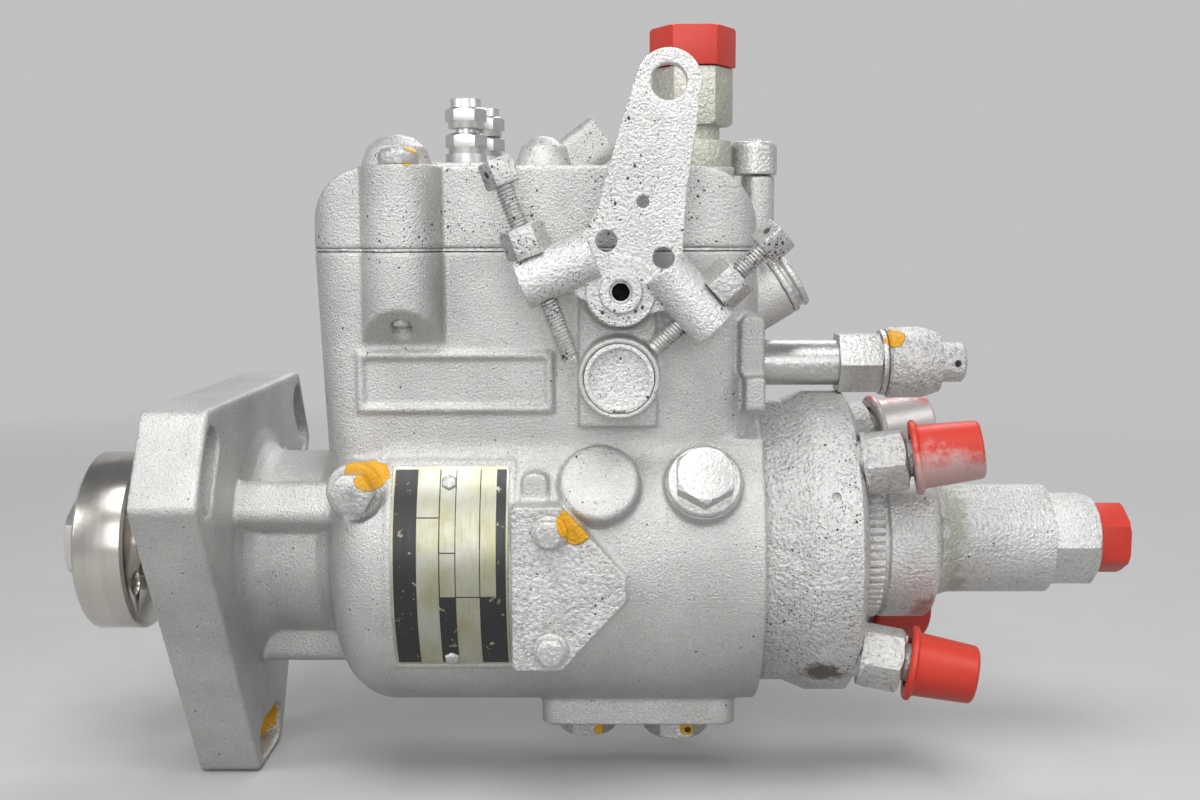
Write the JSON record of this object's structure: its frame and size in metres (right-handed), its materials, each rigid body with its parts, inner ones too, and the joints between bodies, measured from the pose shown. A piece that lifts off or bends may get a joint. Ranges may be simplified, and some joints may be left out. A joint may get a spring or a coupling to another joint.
{
  "type": "diesel injection pump",
  "caption": "Flange-mounted rotary distributor pump that meters, pressurises and shares out diesel fuel to the injectors.",
  "frame": {"origin": "centre of the flange's mounting face, on the drive axis", "axes": "+X along the drive axis from the hub to the fuel inlet, +Z to the governor cover, -Y to the throttle lever"},
  "size_m": [0.2835, 0.1168, 0.1951],
  "materials": {
    "silver": "silver-grey sprayed paint over a rough casting",
    "silver_smooth": "silver-grey paint on machined faces",
    "lever_paint": "speckled silver paint",
    "bright_steel": "ground steel",
    "zinc": "plated steel",
    "bronze": "plain bronze",
    "fitting_brass": "yellowish plated steel with overspray",
    "red_plastic": "red moulded plastic",
    "black_rubber": "moulded rubber",
    "black_plastic": "moulded plastic",
    "gasket": "gasket sheet",
    "plate": "printed aluminium sheet",
    "spring_steel": "spring wire",
    "cast_weight": "bare sintered iron"
  },
  "bodies": {
    "casing": {"pump_housing": "silver", "shaft_bushes": "bronze", "shaft_seals": "black_rubber", "governor_cover": "silver", "cover_gasket": "gasket", "cover_screws": "silver_smooth", "return_fitting": "fitting_brass", "terminal_studs": "zinc", "terminal_nuts": "zinc", "seal_cup": "silver_smooth", "side_plug": "silver_smooth", "boss_plug": "silver_smooth", "timing_cover": "silver", "timing_screws": "zinc", "nameplate": "plate", "pivot_nuts": "silver_smooth", "pivot_shaft": "bright_steel", "head_locking_screws": "silver_smooth", "bottom_screws": "silver_smooth", "droop_tube": "silver_smooth", "droop_nut": "silver_smooth", "hydraulic_head": "silver", "discharge_fittings": "silver_smooth", "end_cap": "silver_smooth", "inlet_fitting": "silver_smooth", "governor_spring": "spring_steel", "shutoff_solenoid": "black_plastic", "cam_ring": "bright_steel", "pump_liner": "bright_steel"},
    "drive": {"drive_hub": "bright_steel", "drive_shaft": "bright_steel", "hub_nut": "zinc", "hub_key": "bright_steel", "weight_cage": "cast_weight", "distributor_rotor": "bright_steel", "pump_blades": "bright_steel"},
    "sleeve": {"thrust_sleeve": "bright_steel"},
    "arm": {"governor_arm": "zinc"},
    "linkage": {"linkage_hook": "zinc"},
    "metering": {"metering_valve": "bright_steel"},
    "throttle": {"throttle_shaft": "bright_steel", "throttle_lever": "lever_paint", "stop_nuts": "silver_smooth"},
    "left_screw": {"stop_screw_left": "zinc"},
    "right_screw": {"stop_screw_right": "zinc"},
    "shutoff": {"shutoff_arm": "zinc"},
    "upper_plunger": {"plunger_upper": "bright_steel"},
    "lower_plunger": {"plunger_lower": "bright_steel"},
    "return_outlet_cap": {"return_cap": "red_plastic"},
    "inlet_stopper": {"inlet_plug": "red_plastic"},
    "droop": {"droop_knob": "silver_smooth"},
    "regulator": {"regulating_piston": "bright_steel"},
    "weight_1": {"governor_weight_1": "cast_weight"},
    "cap_1": {"transport_cap_1": "red_plastic"},
    "weight_2": {"governor_weight_2": "cast_weight"},
    "cap_2": {"transport_cap_2": "red_plastic"},
    "weight_3": {"governor_weight_3": "cast_weight"},
    "cap_3": {"transport_cap_3": "red_plastic"},
    "weight_4": {"governor_weight_4": "cast_weight"},
    "cap_4": {"transport_cap_4": "red_plastic"}
  },
  "joints": [
    {"name": "drive_turn", "type": "hinge", "parent": "casing", "child": "drive", "pos_m": [0, 0, 0], "axis": [1, 0, 0], "continuous": true},
    {"name": "sleeve_slide", "type": "slide", "parent": "casing", "child": "sleeve", "axis": [-1, 0, 0], "range_m": [0, 0.002]},
    {"name": "weight_1_swing", "type": "hinge", "parent": "drive", "child": "weight_1", "pos_m": [0.086, -0.024, 0], "axis": [0, 0, 1], "range_deg": [0, 12]},
    {"name": "weight_2_swing", "type": "hinge", "parent": "drive", "child": "weight_2", "pos_m": [0.086, 0, 0.024], "axis": [0, 1, 0], "range_deg": [0, 12]},
    {"name": "weight_3_swing", "type": "hinge", "parent": "drive", "child": "weight_3", "pos_m": [0.086, 0.024, 0], "axis": [0, 0, -1], "range_deg": [0, 12]},
    {"name": "weight_4_swing", "type": "hinge", "parent": "drive", "child": "weight_4", "pos_m": [0.086, 0, -0.024], "axis": [0, -1, 0], "range_deg": [0, 12]},
    {"name": "arm_tilt", "type": "hinge", "parent": "casing", "child": "arm", "pos_m": [0.0477, 0, 0.0199], "axis": [0, 1, 0], "range_deg": [0, 6]},
    {"name": "linkage_slide", "type": "slide", "parent": "casing", "child": "linkage", "axis": [1, 0, 0], "range_m": [0, 0.0037]},
    {"name": "metering_turn", "type": "hinge", "parent": "casing", "child": "metering", "pos_m": [0.128, 0, 0.03], "axis": [0, 0, -1], "range_deg": [0, 17.5]},
    {"name": "throttle_turn", "type": "hinge", "parent": "casing", "child": "throttle", "pos_m": [0.1123, 0, 0.0684], "axis": [0, 1, 0], "range_deg": [-2, 2]},
    {"name": "left_screw_out", "type": "slide", "parent": "throttle", "child": "left_screw", "axis": [-0.355, 0, 0.9349], "range_m": [0, 0.012]},
    {"name": "right_screw_out", "type": "slide", "parent": "throttle", "child": "right_screw", "axis": [0.7413, 0, 0.6712], "range_m": [0, 0.01]},
    {"name": "shutoff_tilt", "type": "hinge", "parent": "casing", "child": "shutoff", "pos_m": [0.095, 0, 0.086], "axis": [0, -1, 0], "range_deg": [0, 12]},
    {"name": "upper_plunger_slide", "type": "slide", "parent": "drive", "child": "upper_plunger", "axis": [0, 0, 1], "range_m": [0, 0.0011]},
    {"name": "lower_plunger_slide", "type": "slide", "parent": "drive", "child": "lower_plunger", "axis": [0, 0, -1], "range_m": [0, 0.0011]},
    {"name": "cap_1_pull", "type": "slide", "parent": "casing", "child": "cap_1", "axis": [0.9763, -0.153, 0.153], "range_m": [0, 0.018]},
    {"name": "cap_2_pull", "type": "slide", "parent": "casing", "child": "cap_2", "axis": [0.9763, 0.153, 0.153], "range_m": [0, 0.018]},
    {"name": "cap_3_pull", "type": "slide", "parent": "casing", "child": "cap_3", "axis": [0.9763, 0.153, -0.153], "range_m": [0, 0.018]},
    {"name": "cap_4_pull", "type": "slide", "parent": "casing", "child": "cap_4", "axis": [0.9763, -0.153, -0.153], "range_m": [0, 0.018]},
    {"name": "return_cap_pull", "type": "slide", "parent": "casing", "child": "return_outlet_cap", "axis": [0, 0, 1], "range_m": [0, 0.012]},
    {"name": "inlet_plug_pull", "type": "slide", "parent": "casing", "child": "inlet_stopper", "axis": [1, 0, 0], "range_m": [0, 0.012]},
    {"name": "droop_turn", "type": "hinge", "parent": "casing", "child": "droop", "pos_m": [0.19, 0, 0.0477], "axis": [1, 0, 0], "range_deg": [-180, 180]},
    {"name": "regulator_slide", "type": "slide", "parent": "casing", "child": "regulator", "axis": [1, 0, 0], "range_m": [0, 0.006]}
  ],
  "couplings": [
    {"joint": "weight_1_swing", "follows": "sleeve_slide", "rad_per_m": 100},
    {"joint": "weight_2_swing", "follows": "sleeve_slide", "rad_per_m": 100},
    {"joint": "weight_3_swing", "follows": "sleeve_slide", "rad_per_m": 100},
    {"joint": "weight_4_swing", "follows": "sleeve_slide", "rad_per_m": 100},
    {"joint": "arm_tilt", "follows": "sleeve_slide", "rad_per_m": 50},
    {"joint": "linkage_slide", "follows": "sleeve_slide", "ratio": 1.805},
    {"joint": "metering_turn", "follows": "sleeve_slide", "rad_per_m": 150},
    {"joint": "lower_plunger_slide", "follows": "upper_plunger_slide", "ratio": 1}
  ]
}
